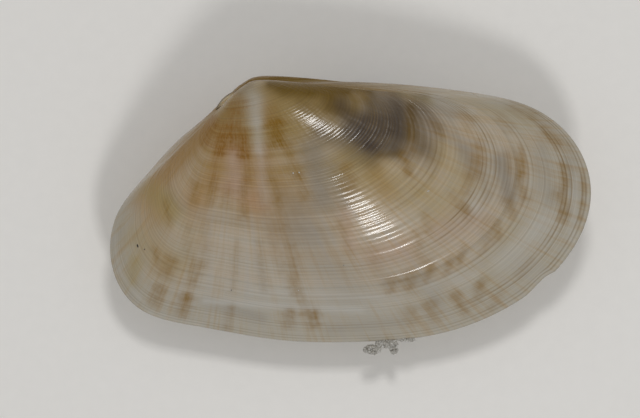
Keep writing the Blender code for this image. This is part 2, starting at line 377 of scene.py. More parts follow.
@dataclass(frozen=True)
class GrowthForm:
    """Outer form of a valve: growth lines are the margin, shrunk to the beak and turned about the hinge."""

    margin: tuple[tuple[float, float], ...] = (
        (-0.33, -0.85), (-1.10, -1.40), (-2.08, -2.00), (-3.33, -2.60), (-5.67, -4.20), (-8.50, -7.25),
        (-10.83, -10.25), (-11.58, -13.25), (-10.92, -16.42), (-8.92, -18.67), (-4.08, -20.04),
        (2.58, -21.17), (9.25, -21.33), (15.92, -20.67), (21.75, -18.38), (25.92, -15.04), (28.21, -11.00),
        (28.38, -7.50), (26.75, -4.13), (23.42, -1.65), (18.42, -0.43), (12.58, 0.24), (5.92, 0.38),
        (1.70, -0.20),
    )
    knot_power: float = 0.75
    steps_per_point: int = 40
    hinge_axis_deg: float = 20.0
    growth_turn: float = 0.66
    beak_rise: float = 0.90
    hinge_swell: float = 0.15
    swell_power: float = 3.0
    middle: tuple[float, float] = (8.40, -10.40)
    inside_along: float = 0.955
    inside_across: float = 0.93
    inside_deep: float = 0.84
    hinge_plate: float = 0.12

    def margin_curve(self, count: int) -> np.ndarray:
        """Smooth closed cubic curve through the margin points, at places evenly spaced along it.

        Each stretch is the cubic whose bends at its two ends solve one linear system for the whole loop.

        Args:
            count: Number of places.

        Returns:
            Places as count x 2.
        """
        corners = np.asarray(self.margin, float)
        total = len(corners)
        after = np.roll(corners, -1, axis=0)
        spans = np.linalg.norm(after - corners, axis=1) ** self.knot_power
        slopes = (after - corners) / spans[:, None]
        before = np.roll(spans, 1)
        number = np.arange(total)
        matrix = np.zeros((total, total))
        matrix[number, number - 1] = before
        matrix[number, number] = 2 * (before + spans)
        matrix[number, (number + 1) % total] = spans
        bends = np.linalg.solve(matrix, 6 * (slopes - np.roll(slopes, 1, axis=0)))
        steps = np.linspace(0, 1, self.steps_per_point, endpoint=False)[None, :, None]
        span = spans[:, None, None]
        here = bends[:, None, :]
        there = np.roll(bends, -1, axis=0)[:, None, :]
        left = span * (1 - steps)
        right = span * steps
        dense = (
            (here * left**3 + there * right**3) / (6 * span)
            + (corners[:, None, :] / span - here * span / 6) * left
            + (after[:, None, :] / span - there * span / 6) * right
        ).reshape(-1, 2)
        looped = np.vstack([dense, dense[:1]])
        lengths = np.linalg.norm(np.diff(looped, axis=0), axis=1)
        travelled = np.concatenate([[0], np.cumsum(lengths)])
        wanted = travelled[-1] * np.arange(count) / count
        return np.stack([np.interp(wanted, travelled, looped[:, k]) for k in (0, 1)], axis=1)

    def lines(self, shares: np.ndarray, count: int) -> np.ndarray:
        """Growth lines of the upper valve.

        A line of share s is s times the margin, turned about the hinge axis by growth_turn x ln(1 / s). It
        rises by beak_rise x (1 - s), and beside the hinge it swells by reach x s x (1 - s^swell_power).

        Args:
            shares: Size of each line as a share of the margin.
            count: Number of points along a line.

        Returns:
            Points as shares x count x 3, in mm.
        """
        margin = self.margin_curve(count)
        lean = math.radians(self.hinge_axis_deg)
        axis = np.array([math.cos(lean), math.sin(lean)])
        away = np.array([math.sin(lean), -math.cos(lean)])
        share = np.asarray(shares, float)[:, None]
        turn = self.growth_turn * np.log(1 / share)
        along = share * (margin @ axis)
        out = share * (margin @ away)
        flat = along[..., None] * axis + (out * np.cos(turn))[..., None] * away
        beside_hinge = (1 - (margin @ away) / (margin @ away).max()) ** 2
        reach = self.hinge_swell * np.linalg.norm(margin, axis=1) * beside_hinge
        swell = reach * share * (1 - share**self.swell_power)
        height = out * np.sin(turn) + self.beak_rise * (1 - share) + swell
        return np.concatenate([flat, height[..., None]], axis=2)

    def inside(self, lines: np.ndarray) -> np.ndarray:
        """Draws growth lines in by the wall, and further in beside the hinge, where the plate is wide.

        Args:
            lines: Points as lines x count x 3.

        Returns:
            The same lines on the inside of the valve.
        """
        x, y, z = np.moveaxis(lines, 2, 0)
        rise = np.maximum(y - self.middle[1], 0) / -self.middle[1]
        across = self.inside_across - self.hinge_plate * rise**2
        inner_x = self.middle[0] + (x - self.middle[0]) * self.inside_along
        inner_y = self.middle[1] + (y - self.middle[1]) * across
        return np.stack([inner_x, inner_y, z * self.inside_deep], axis=2)


@dataclass
class RestPose:
    """Lays the shell down on its lower valve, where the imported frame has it."""

    form: GrowthForm
    tilt_deg: float = 10.0
    roll_deg: float = -0.5
    # The coarse grid of the frame's upper valve, whose box this one is laid on.
    cad_columns: int = 60
    cad_rows: int = 21
    cad_row_power: float = 1.4
    cad_tip_share: float = 0.03
    cad_half_gap: float = 0.15
    turn: np.ndarray = field(init=False)
    shift: np.ndarray = field(init=False)

    def __post_init__(self) -> None:
        """Finds the shift that brings the same upper valve onto the frame's upper valve."""
        leaning = Euler((math.radians(self.tilt_deg), math.radians(self.roll_deg), 0.0), "XYZ")
        self.turn = np.array(leaning.to_matrix())
        fractions = np.linspace(0, 1, self.cad_rows) ** self.cad_row_power
        shares = self.cad_tip_share + (1 - self.cad_tip_share) * fractions
        coarse = self.form.lines(shares, self.cad_columns)
        coarse[..., 2] += self.cad_half_gap
        turned = coarse.reshape(-1, 3) @ self.turn.T * MM
        low, high = (np.array(corner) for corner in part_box("upper_valve"))
        self.shift = low - turned.min(axis=0)
        miss = np.abs(turned.max(axis=0) + self.shift - high).max()
        LOG.info("upper valve meets the frame within %.4f mm", miss / MM)

    def place(self, points: np.ndarray) -> np.ndarray:
        """Turns points in mm of the shell's own frame into metres of the row frame."""
        return points @ self.turn.T * MM + self.shift

    def direction(self, vector: tuple[float, float, float]) -> Vector:
        """Turns a direction of the shell's own frame into the row frame."""
        return Vector(self.turn @ np.array(vector)).normalized()


@dataclass(frozen=True)
class ShellOutside:
    """Outside of the shell: aragonite as it grew, wet and glossy, with pigment laid down line by line."""

    # Ground: colour at the old beak, then each later colour with the ages at which it starts and is full.
    honey: str = "977f4d"
    later_grounds: tuple[tuple[str, float, float], ...] = (("b8a891", 0.62, 1.08), ("b1aa9a", 1.0, 1.45))
    age_blur: float = 0.45
    # Rays: tan and lilac strips, each with the values of the ray noise where it starts and is full.
    ray_tints: tuple[tuple[str, float, float], ...] = (("a47f45", 0.48, 0.72), ("a9a29c", 0.50, 0.28))
    ray_strength: float = 0.38
    rays_between: tuple[float, float] = (0.15, 0.55)
    tones: tuple[tuple[Tone, str, float], ...] = (
        (Tone.TAN, "a37d42", 1.0),
        (Tone.DUSK, "665744", 1.0),
        (Tone.MIST, "8a8276", 1.0),
        (Tone.OLIVE, "9d8746", 1.0),
        (Tone.ROSE, "b48a70", 1.0),
        (Tone.PALE, "bebbb3", 1.0),
        (Tone.UMBER, "6b5108", 1.25),
        (Tone.OCHRE, "83600c", 1.0),
        (Tone.RUST, "875c12", 1.0),
        (Tone.VIOLET, "3a2d22", 1.2),
    )
    # Dark lines in the grooves and pale lines on the crests: partly pigment, partly painted shade and painted
    # highlight of the ridges.
    growth_lines_and_relief_shading: tuple[tuple[str, str], ...] = (("dark_line_and_groove_shade", "7a6238"), ("pale_line_and_crest_highlight", "d8cdb8"))
    # Noises along the share, per margin length: fine rings, two cells to a ridge, and bands of 1 to 2 mm.
    ring_noises: tuple[tuple[str, float, float], ...] = (("rings", 170.0, 2.0), ("bands", 22.0, 3.0))
    # Noises over the growth coordinates: name, which way the seed moves it, stretch, detail, roughness. Rays
    # are 0.6 mm wide at the margin and hardly change from line to line, cells are denser and thinner pigment
    # between lines and rays, and uneven is the shallow unevenness along the ridges that breaks their
    # highlights into streaks.
    growth_noises: tuple[tuple[str, tuple[int, ...], tuple[float, ...], float, float], ...] = (
        ("rays", (1, 1, 1), (30.0, 30.0, 3.0), 3.0, 0.65),
        ("cells", (1, -1, 1), (22.0, 22.0, 60.0), 3.0, 0.6),
        ("uneven", (1, 1, -1), (16.0, 16.0, 34.0), 0.0, 0.5),
    )
    # Clouds of 4 mm.
    clouds_per_m: float = 260.0
    uneven_height: float = 0.05 * MM
    skin_coat: float = 0.15
    # Bare aragonite under a film of water, which lets a little light in.
    body: tuple[tuple[str, float | tuple[float, ...]], ...] = (
        ("IOR", 1.56),
        ("Specular IOR Level", 0.2),
        ("Coat IOR", 1.38),
        ("Coat Roughness", 0.12),
        ("Subsurface Weight", 0.10),
        ("Subsurface Radius", (1.0, 0.7, 0.5)),
        ("Subsurface Scale", 0.5 * MM),
    )

    def make(self, name: str, seed: float) -> Material:
        """Builds the material, whose pattern follows the growth attribute (cosine, sine, share).

        Args:
            name: The material's name.
            seed: Moves the fine noise, so that the two valves differ.

        Returns:
            The material.
        """
        made, tree, shader = new_material(name)
        growth = add_node(tree, "Attribute", {"attribute_name": "growth"}).outputs["Vector"]
        share = add_node(tree, "SeparateXYZ", inputs={"Vector": growth}).outputs["Z"]
        noise = self.noises(tree, growth, share, seed)
        colour = self.pigmented(tree, self.ground(tree, share, noise), noise)
        limits = {"Value": noise["cloud"], "From Min": 0.3, "From Max": 0.7, "To Min": 0.26, "To Max": 0.40}
        gloss = add_node(tree, "MapRange", inputs=limits).outputs["Result"]
        relief = {"Strength": 0.5, "Distance": self.uneven_height, "Height": noise["uneven"]}
        bump = add_node(tree, "Bump", inputs=relief).outputs["Normal"]
        # The horn-like skin left beside the hinge, whose umber is partly painted shade, is less glossy than
        # bare shell.
        skin = add_node(tree, "Attribute", {"attribute_name": Tone.UMBER.value}).outputs["Fac"]
        limits = {"Value": skin, "To Min": 1.0, "To Max": self.skin_coat}
        bare = add_node(tree, "MapRange", inputs=limits).outputs["Result"]
        fill(tree, shader, {"Base Color": colour, "Roughness": gloss, "Normal": bump, "Coat Weight": bare})
        fill(tree, shader, dict(self.body))
        return made

    def noises(self, tree: Tree, growth: Socket, share: Socket, seed: float) -> dict[str, Socket]:
        """Makes every noise of the pattern.

        Args:
            tree: The material's node tree.
            growth: The growth coordinates.
            share: Their third part, the share of the margin.
            seed: Moves the noises over the growth coordinates.

        Returns:
            The noises by name.
        """
        noise = {}
        for key, scale, detail in self.ring_noises:
            inputs = {"W": share, "Scale": scale, "Detail": detail, "Roughness": 0.6}
            noise[key] = add_node(tree, "TexNoise", {"noise_dimensions": "1D"}, inputs).outputs["Fac"]
        for key, signs, stretch, detail, rough in self.growth_noises:
            shift = tuple(seed * sign for sign in signs)
            moved = add_node(tree, "Mapping", inputs={"Vector": growth, "Location": shift, "Scale": stretch})
            inputs = {"Vector": moved.outputs["Vector"], "Scale": 1.0, "Detail": detail, "Roughness": rough}
            noise[key] = add_node(tree, "TexNoise", inputs=inputs).outputs["Fac"]
        place = add_node(tree, "TexCoord").outputs["Object"]
        inputs = {"Vector": place, "Scale": self.clouds_per_m, "Detail": 4.0, "Roughness": 0.6}
        noise["cloud"] = add_node(tree, "TexNoise", inputs=inputs).outputs["Fac"]
        return noise

    def ground(self, tree: Tree, share: Socket, noise: dict[str, Socket]) -> Socket:
        """Colours the ground by age, in bands and clouds, with tanner and more lilac rays.

        Args:
            tree: The material's node tree.
            share: The share of the margin.
            noise: The noises by name.

        Returns:
            The ground's colour.
        """
        blur = add_node(tree, "Math", {"operation": "ADD"}, {0: noise["bands"], 1: noise["cloud"]})
        parts = {0: blur.outputs["Value"], 1: self.age_blur, 2: share}
        age = add_node(tree, "Math", {"operation": "MULTIPLY_ADD"}, parts).outputs["Value"]
        colour = linear(self.honey)
        for hue, young, old in self.later_grounds:
            limits = {"Value": age, "From Min": young, "From Max": old}
            part = add_node(tree, "MapRange", {"interpolation_type": "SMOOTHSTEP"}, limits).outputs["Result"]
            layers = {FACTOR: part, UNDER: colour, OVER: linear(hue)}
            colour = add_node(tree, "Mix", MIX_COLOUR, layers).outputs[MIXED]
        young, old = self.rays_between
        limits = {"Value": share, "From Min": young, "From Max": old, "To Max": self.ray_strength}
        grown = add_node(tree, "MapRange", inputs=limits).outputs["Result"]
        for hue, none, full in self.ray_tints:
            limits = {"Value": noise["rays"], "From Min": none, "From Max": full}
            part = add_node(tree, "MapRange", inputs=limits).outputs["Result"]
            part = add_node(tree, "Math", MULTIPLY, {0: part, 1: grown}).outputs["Value"]
            layers = {FACTOR: part, UNDER: colour, OVER: linear(hue)}
            colour = add_node(tree, "Mix", MIX_COLOUR, layers).outputs[MIXED]
        return colour

    def pigmented(self, tree: Tree, colour: Socket, noise: dict[str, Socket]) -> Socket:
        """Lays the tones over the ground, shades all by fine rings, and draws the dark and pale lines, which
        are partly pigment and partly painted shade in the grooves and painted highlight on the crests.

        Args:
            tree: The material's node tree.
            colour: The ground's colour.
            noise: The noises by name.

        Returns:
            The finished colour.
        """
        both = add_node(tree, "Math", {"operation": "ADD"}, {0: noise["cells"], 1: noise["rays"]})
        both = both.outputs["Value"]
        limits = {"Value": both, "From Min": 0.7, "From Max": 1.3, "To Min": 0.5, "To Max": 1.4}
        grain = add_node(tree, "MapRange", inputs=limits).outputs["Result"]
        for tone, hue, weight in self.tones:
            amount = add_node(tree, "Attribute", {"attribute_name": tone.value}).outputs["Fac"]
            if tone in STREAKS:
                amount = add_node(tree, "Math", MULTIPLY, {0: amount, 1: grain}).outputs["Value"]
            held = {"operation": "MULTIPLY", "use_clamp": True}
            amount = add_node(tree, "Math", held, {0: amount, 1: weight}).outputs["Value"]
            layers = {FACTOR: amount, UNDER: colour, OVER: linear(hue)}
            colour = add_node(tree, "Mix", MIX_COLOUR, layers).outputs[MIXED]
        limits = {"Value": noise["rings"], "From Min": 0.3, "From Max": 0.7, "To Min": 0.92, "To Max": 1.08}
        lined = add_node(tree, "MapRange", inputs=limits).outputs["Result"]
        shaded = add_node(tree, "VectorMath", {"operation": "SCALE"}, {0: colour, "Scale": lined})
        colour = shaded.outputs["Vector"]
        for line, hue in self.growth_lines_and_relief_shading:
            amount = add_node(tree, "Attribute", {"attribute_name": line}).outputs["Fac"]
            layers = {FACTOR: amount, UNDER: colour, OVER: linear(hue)}
            colour = add_node(tree, "Mix", MIX_COLOUR, layers).outputs[MIXED]
        return colour


@dataclass(frozen=True)
class ShellInside:
    """Inside of the shell: smooth porcelain-like aragonite, off-white with a faint violet flush."""

    white: str = "e6dfd2"
    flush: str = "b9a3ad"
    # Clouds of 9 mm.
    clouds_per_m: float = 110.0

    def make(self) -> Material:
        """Builds the material."""
        made, tree, shader = new_material("porcelaneous_aragonite")
        place = add_node(tree, "TexCoord").outputs["Object"]
        inputs = {"Vector": place, "Scale": self.clouds_per_m, "Detail": 3.0}
        cloud = add_node(tree, "TexNoise", inputs=inputs).outputs["Fac"]
        layers = {FACTOR: cloud, UNDER: linear(self.white), OVER: linear(self.flush)}
        colour = add_node(tree, "Mix", MIX_COLOUR, layers).outputs[MIXED]
        fill(tree, shader, {"Base Color": colour, "Roughness": 0.25, "IOR": 1.56})
        return made


@dataclass
class Valve:
    """One valve as a closed wall: ridged outside, rounded rim, flat rim and smooth inside."""

    side: Side
    form: GrowthForm
    rest: RestPose
    columns: int = 232
    steps_per_ridge: int = 4
    # How many ridges lie between the worn beak and a share of the margin.
    ridge_stops: tuple[tuple[int, float], ...] = ((0, 0.02), (51, 0.45), (66, 0.68), (92, 1.0))
    # Height of a ridge in mm per unit of its width as a share, at a share of the margin.
    boldness: tuple[tuple[float, float], ...] = (
        (0.02, 0.2), (0.10, 1.1), (0.22, 1.6), (0.32, 2.2), (0.42, 2.5), (0.47, 1.8), (0.52, 2.3),
        (0.60, 2.3), (0.66, 0.7), (1.0, 0.5),
    )
    ridge_spread: tuple[float, float] = (0.55, 1.15)
    crest_waver: float = 0.25
    waver_orders: tuple[int, ...] = (3, 7, 13, 29)
    worn_beak: tuple[float, float] = (0.03, 0.10)
    # Growth pauses: share, depth as a part of pause_depth. They wander by a share, so often round the valve.
    pauses: tuple[tuple[float, float], ...] = (
        (0.672, 1.15), (0.712, 0.25), (0.752, 1.5), (0.780, 0.3), (0.817, 0.3), (0.928, 0.4),
    )
    pause_depth: float = 0.026
    pause_width: float = 0.0052
    pause_wander: tuple[tuple[float, int, int], ...] = ((0.0015, 5, 40), (0.0008, 17, 90))
    # Bundles of dark lines where growth slowed, partly pigment and partly painted shade in the grooves:
    # share, half width as a share, strength.
    bundles: tuple[tuple[float, float, float], ...] = (
        (0.380, 0.060, 0.25), (0.545, 0.022, 0.35), (0.700, 0.030, 0.50), (0.782, 0.008, 0.35),
        (0.817, 0.012, 0.50), (0.930, 0.018, 0.60), (0.974, 0.012, 0.40),
    )
    # Dark lines outside the bundles; all lines by place round the valve, stronger towards the long end.
    lone_lines: float = 0.10
    dark_spread: tuple[float, float] = (0.4, 1.0)
    pale_lines: float = 0.10
    pale_between: tuple[float, float] = (0.35, 0.60)
    line_waver: float = 0.6
    line_floor: float = 0.45
    long_end_gain: float = 0.75
    long_end: tuple[float, float, float, float] = (0.48, 0.60, 0.76, 0.84)
    # The rims nearly meet, and from opening_share on the body is lifted to where the frame has it.
    half_gap: float = 0.012
    opening_share: float = 0.90
    body_half_gap: float = 0.15
    lip: float = 0.04
    lip_steps: int = 3
    inner_rows: int = 14
    # Streaks: how softly they end, how steeply they fall off aside, and how they change from ridge to ridge.
    mark_end: float = 0.5
    streak_power: float = 2.4
    step_spread: float = 0.2
    step_limit: float = 0.45
    dose_spread: tuple[float, float] = (0.7, 1.2)
    inner_end_share: float = 0.20
    # Tones of the wall beside the hinge: along x in mm, where one starts, is full, fades and ends; strength.
    # The wall's umber is partly painted shade of the side that turns away from the light.
    wall_tones: tuple[tuple[Tone, float, float, float, float, float], ...] = (
        (Tone.TAN, -9.0, -4.0, 12.0, 24.0, 0.50),
        (Tone.OLIVE, 3.0, 9.0, 14.0, 24.0, 0.45),
        (Tone.UMBER, -4.0, 3.0, 4.0, 18.0, 0.85),
        (Tone.OCHRE, -8.0, -3.0, 8.0, 26.0, 0.30),
    )
    # The wall: slope of the surface's normal at which it starts and is full; its tongues, in mm, how often
    # round the valve and shift; its pulse from line to line.
    wall_between: tuple[float, float] = (0.35, 0.12)
    tongues: tuple[tuple[float, int, float], ...] = ((1.2, 23, 0.0), (0.9, 41, 2.0), (0.6, 67, 1.0))
    pulse: float = 0.15
    pulses: float = 55.0
    pulse_bend: tuple[float, int] = (1.5, 7)
    # Chip of the free edge, in parts of the way round: steep end, where the gentle end starts, where it ends.
    chip: tuple[float, float, float] = (0.588, 0.584, 0.560)
    chip_run: float = 0.006
    chip_share: float = 0.955
    chip_depth: float = 0.25

    @property
    def ridges(self) -> int:
        """Number of ridges from the beak to the margin."""
        return self.ridge_stops[-1][0]

    def ridge_edges(self) -> np.ndarray:
        """Shares at which the ridges meet: as the stops say, each up to a quarter wider or narrower."""
        drawn = np.random.default_rng(11).uniform(0.75, 1.25, self.ridges)
        numbers = np.concatenate([[0], np.cumsum(drawn)]) * self.ridges / drawn.sum()
        stops = np.array(self.ridge_stops)
        return np.interp(numbers, stops[:, 0], stops[:, 1])

    def shares(self) -> np.ndarray:
        """Shares of all outer rows, the same number to every ridge."""
        edges = self.ridge_edges()
        wanted = np.arange(self.ridges * self.steps_per_ridge + 1) / self.steps_per_ridge
        return np.interp(wanted, np.arange(len(edges)), edges)

    def relief(self, shares: np.ndarray) -> tuple[np.ndarray, np.ndarray, np.ndarray]:
        """Height of the outside above the smooth form, and its dark lines in the grooves and pale lines on
        the crests.

        A ridge is half a sine wave, whose height follows its width and the boldness at its place. A growth
        pause is a bell-shaped groove. Dark lines lie between ridges, most of them in bundles, and pale lines
        on some crests; they are partly pigment and partly painted shade in the grooves and painted highlight
        on the crests. All of them waver slowly round the valve.

        Args:
            shares: Shares of the outer rows.

        Returns:
            Height in mm, dark lines and pale lines from 0 to 1, each as rows x columns.
        """
        draw = np.random.default_rng(23 + self.side.value)
        row = np.arange(len(shares))
        number = np.minimum(row // self.steps_per_ridge, self.ridges - 1)
        phase = (row - number * self.steps_per_ridge) / self.steps_per_ridge
        bold = np.array(self.boldness)
        height = np.interp(shares, bold[:, 0], bold[:, 1]) * np.diff(self.ridge_edges())[number]
        height *= draw.uniform(*self.ridge_spread, self.ridges)[number]
        crest = np.sin(np.pi * phase) * height
        worn = smooth_step(shares, *self.worn_beak)
        turn = 2 * np.pi * np.arange(self.columns) / self.columns
        waver = np.zeros((len(shares), self.columns))
        for order in self.waver_orders:
            drift = draw.uniform(0, 2 * np.pi, self.ridges)[number][:, None]
            waver += np.sin(order * turn[None, :] + drift) / len(self.waver_orders)
        lift = crest[:, None] * (1 + self.crest_waver * waver)
        for share, weight in self.pauses:
            line = share
            for far, often, shift in self.pause_wander:
                line = line + far * np.sin(often * turn + shift * share)
            groove = np.exp(-(((shares[:, None] - line) / self.pause_width) ** 2))
            lift -= self.pause_depth * weight * groove
        bundled = np.full(len(shares), self.lone_lines)
        for share, half, weight in self.bundles:
            bundled += weight * np.exp(-(((shares - share) / half) ** 4))
        dark = bundled * draw.uniform(*self.dark_spread, self.ridges)[number]
        # Painted shade: the dark lines sit in the grooves between the ridges.
        dark *= (1 - np.abs(np.sin(np.pi * phase))) ** 2
        place = turn / (2 * np.pi)
        start, full, fading, end = self.long_end
        around = self.long_end_gain * smooth_step(place, start, full) * smooth_step(place, end, fading)
        around += self.line_floor
        # Painted highlight: the pale lines sit on the crests.
        pale = self.pale_lines * draw.uniform(0, 1, self.ridges)[number] ** 3 * np.sin(np.pi * phase) ** 4
        pale *= smooth_step(shares, *self.pale_between)
        dark, pale = (
            (line * worn)[:, None] * (1 + self.line_waver * waver) * around for line in (dark, pale)
        )
        return lift, np.clip(dark, 0, 1), np.clip(pale, 0, 1)

    def outer_rows(self, shares: np.ndarray) -> np.ndarray:
        """The ridged outside: the growth form moved along its normals by the relief, drawn in at the chip.

        Args:
            shares: Shares of the rows.

        Returns:
            Points as rows x columns x 3, in mm, for the upper valve.
        """
        smooth = self.form.lines(shares, self.columns)
        opening = smooth_step(shares, self.opening_share, 1.0)[:, None]
        rim_height = self.half_gap + self.lip
        smooth[..., 2] += self.body_half_gap * (1 - opening) + rim_height * opening
        normal = self.outward_normals(smooth)
        lift, _, _ = self.relief(shares)
        ridged = smooth + normal * lift[..., None]
        ridged[-1, :, 2] = rim_height
        turn = np.arange(self.columns) / self.columns
        steep, gentle, end = self.chip
        notch = smooth_step(turn, steep + self.chip_run, steep) * smooth_step(turn, end, gentle)
        depth = self.chip_depth * notch[None, :] * smooth_step(shares, self.chip_share, 1.0)[:, None]
        ridged[..., :2] += self.inward()[None] * depth[..., None]
        return ridged

    def outward_normals(self, smooth: np.ndarray) -> np.ndarray:
        """Unit normals of the upper valve's smooth outside, from its differences along rows and columns.

        Args:
            smooth: Points as rows x columns x 3.

        Returns:
            Normals of the same shape.
        """
        along = np.roll(smooth, -1, axis=1) - np.roll(smooth, 1, axis=1)
        outward = np.gradient(smooth, axis=0)
        normal = np.cross(outward, along)
        normal /= np.linalg.norm(normal, axis=2)[..., None]
        return normal * np.sign(normal[len(smooth) * 3 // 4, self.columns // 2, 2])

    def inward(self) -> np.ndarray:
        """Unit vectors in the plane of the margin, square to it and pointing in, one per column."""
        margin = self.form.margin_curve(self.columns)
        along = np.roll(margin, -1, axis=0) - np.roll(margin, 1, axis=0)
        along /= np.linalg.norm(along, axis=1)[:, None]
        square = np.stack([-along[:, 1], along[:, 0]], axis=1)
        centre = np.array(self.form.middle)
        return square * np.sign((square * (centre - margin)).sum(axis=1).mean())

    def rim_rows(self, edge: np.ndarray) -> np.ndarray:
        """Quarter circle of radius lip from the outer edge down to the flat rim.

        Args:
            edge: The last outer row, columns x 3.

        Returns:
            Points as lip_steps x columns x 3.
        """
        angle = np.linspace(0, math.pi / 2, self.lip_steps + 1)[1:, None, None]
        moved = np.repeat(edge[None], self.lip_steps, axis=0)
        moved[..., :2] += self.inward()[None] * self.lip * (1 - np.cos(angle))
        moved[..., 2:] -= self.lip * np.sin(angle)
        return moved

    def build(self, outside: Material, inside: Material) -> Object:
        """Builds the valve and stores its growth coordinates and pigments.

        Args:
            outside: Material of the outside and the rim's rounding.
            inside: Material of the flat rim and the inside.

        Returns:
            The finished object.
        """
        shares = self.shares()
        outer = self.outer_rows(shares)
        rim = self.rim_rows(outer[-1])
        inner_shares = np.linspace(1, self.inner_end_share, self.inner_rows)
        inner = self.form.inside(self.form.lines(inner_shares, self.columns))
        closed = smooth_step(inner_shares, 1, self.opening_share)[:, None]
        inner[..., 2] += self.half_gap + (self.body_half_gap - self.half_gap) * closed
        rings = np.concatenate([outer, rim, inner])
        plan = rings[..., :2].copy()
        rings[..., 2] *= self.side.value
        points, faces = capped_rings(rings)
        placed = self.rest.place(points)
        # Worn flat where the shell lies.
        placed[:, 2] = np.maximum(placed[:, 2], 0.0)
        first_inner = (len(shares) + self.lip_steps) * self.columns
        is_inner = (faces[0].min(axis=1) >= first_inner - self.columns).astype(int)
        of_face = np.concatenate([is_inner, np.zeros(self.columns), np.ones(self.columns)])
        name = f"{self.side.name.lower()}_valve_shell"
        piece = make_piece(name, placed, faces, [outside, inside], of_face)
        self.paint(piece, shares, plan)
        return piece

    def paint(self, piece: Object, shares: np.ndarray, plan: np.ndarray) -> None:
        """Stores the growth coordinates, the dark and pale lines and every tone's strength per vertex.

        A mark lies along the line between its two ends. A streak of pigment falls off as
        exp(-(distance aside / half width)^streak_power - (distance past an end / mark_end)^2), and a wash as
        exp(-(distance / half width)^2) on every side. A streak's sides and dose change a little from ridge to
        ridge. On the wall beside the hinge the marks give way to the wall's own tones.

        Args:
            piece: The valve.
            shares: Shares of the outer rows.
            plan: Places seen from above, rows x columns x 2, in mm.
        """
        rows = plan.shape[0]
        every_share = np.concatenate([shares, np.ones(rows - len(shares))])
        turn = 2 * np.pi * np.arange(self.columns) / self.columns
        growth = np.zeros((rows, self.columns, 3))
        growth[..., 0] = np.cos(turn)
        growth[..., 1] = np.sin(turn)
        growth[..., 2] = every_share[:, None]
        store_vector(piece, "growth", with_ends(growth))
        rest = np.zeros((rows - len(shares), self.columns))
        # Dark lines, partly painted shade in the grooves, and pale lines, partly painted highlight on the
        # crests.
        for name, line in zip(("dark_line_and_groove_shade", "pale_line_and_crest_highlight"), self.relief(shares)[1:]):
            store_number(piece, name, with_ends(np.concatenate([line, rest])[..., None]))
        draw = np.random.default_rng(5)
        number = np.minimum(np.arange(rows) // self.steps_per_ridge, self.ridges - 1)
        step = draw.normal(0, self.step_spread, self.ridges)[number][:, None]
        step = step.clip(-self.step_limit, self.step_limit)
        dose = draw.uniform(*self.dose_spread, self.ridges)[number][:, None]
        wall = self.hinge_wall(shares, rows)
        for tone, marks in MARKS.items():
            total = np.zeros(plan.shape[:2])
            for x0, y0, x1, y1, half, strength in marks:
                start = np.array([x0, y0])
                span = np.array([x1, y1]) - start
                length = np.linalg.norm(span)
                ahead = (plan - start) @ span / length
                aside = (plan - start) @ np.array([-span[1], span[0]]) / length
                past = np.maximum(np.maximum(-ahead, ahead - length), 0)
                if tone in STREAKS:
                    fall = np.abs(aside / (half * (1 + step))) ** self.streak_power
                    fall += (past / self.mark_end) ** 2
                else:
                    fall = (aside / half) ** 2 + (past / half) ** 2
                total = 1 - (1 - total) * (1 - strength * np.exp(-fall))
            total += wall * (self.wall_tone(tone, plan, every_share) - total)
            if tone in STREAKS:
                total = np.minimum(total * dose, 1)
            store_number(piece, tone.value, with_ends(total[..., None]))

    def hinge_wall(self, shares: np.ndarray, rows: int) -> np.ndarray:
        """How far each vertex belongs to the wall beside the hinge, which stands upright or leans outwards.

        Args:
            shares: Shares of the outer rows.
            rows: Number of rows in all, those after the outer ones being like the last outer one.

        Returns:
            Numbers from 0 to 1 as rows x columns.
        """
        normal = self.outward_normals(self.form.lines(shares, self.columns))
        wall = smooth_step(normal[..., 2], *self.wall_between)
        return np.concatenate([wall, np.repeat(wall[-1:], rows - len(shares), axis=0)])

    def wall_tone(self, tone: Tone, plan: np.ndarray, shares: np.ndarray) -> np.ndarray:
        """Strength of a tone on the hinge wall: it fades in and out along x, in tongues that follow the rays.

        Args:
            tone: The tone.
            plan: Places seen from above, rows x columns x 2, in mm.
            shares: Share of every row.

        Returns:
            Strength as rows x columns.
        """
        turn = 2 * np.pi * np.arange(self.columns)[None, :] / self.columns
        tongue = sum(far * np.sin(often * turn + shift) for far, often, shift in self.tongues)
        bend, often = self.pulse_bend
        bent = self.pulses * shares[:, None] + bend * np.sin(often * turn)
        pulse = 1 - self.pulse + self.pulse * np.sin(bent)
        place = plan[..., 0] + tongue
        total = np.zeros(place.shape)
        for wanted, start, full, fading, end, strength in self.wall_tones:
            if wanted is tone:
                along = smooth_step(place, start, full) * smooth_step(place, end, fading)
                total = strength * pulse * along
        return total


def with_ends(values: np.ndarray) -> np.ndarray:
    """Adds the values of the two end points, each the mean of its ring, and flattens the grid."""
    width = values.shape[-1]
    return np.concatenate([values.reshape(-1, width), values[:1].mean(axis=1), values[-1:].mean(axis=1)])


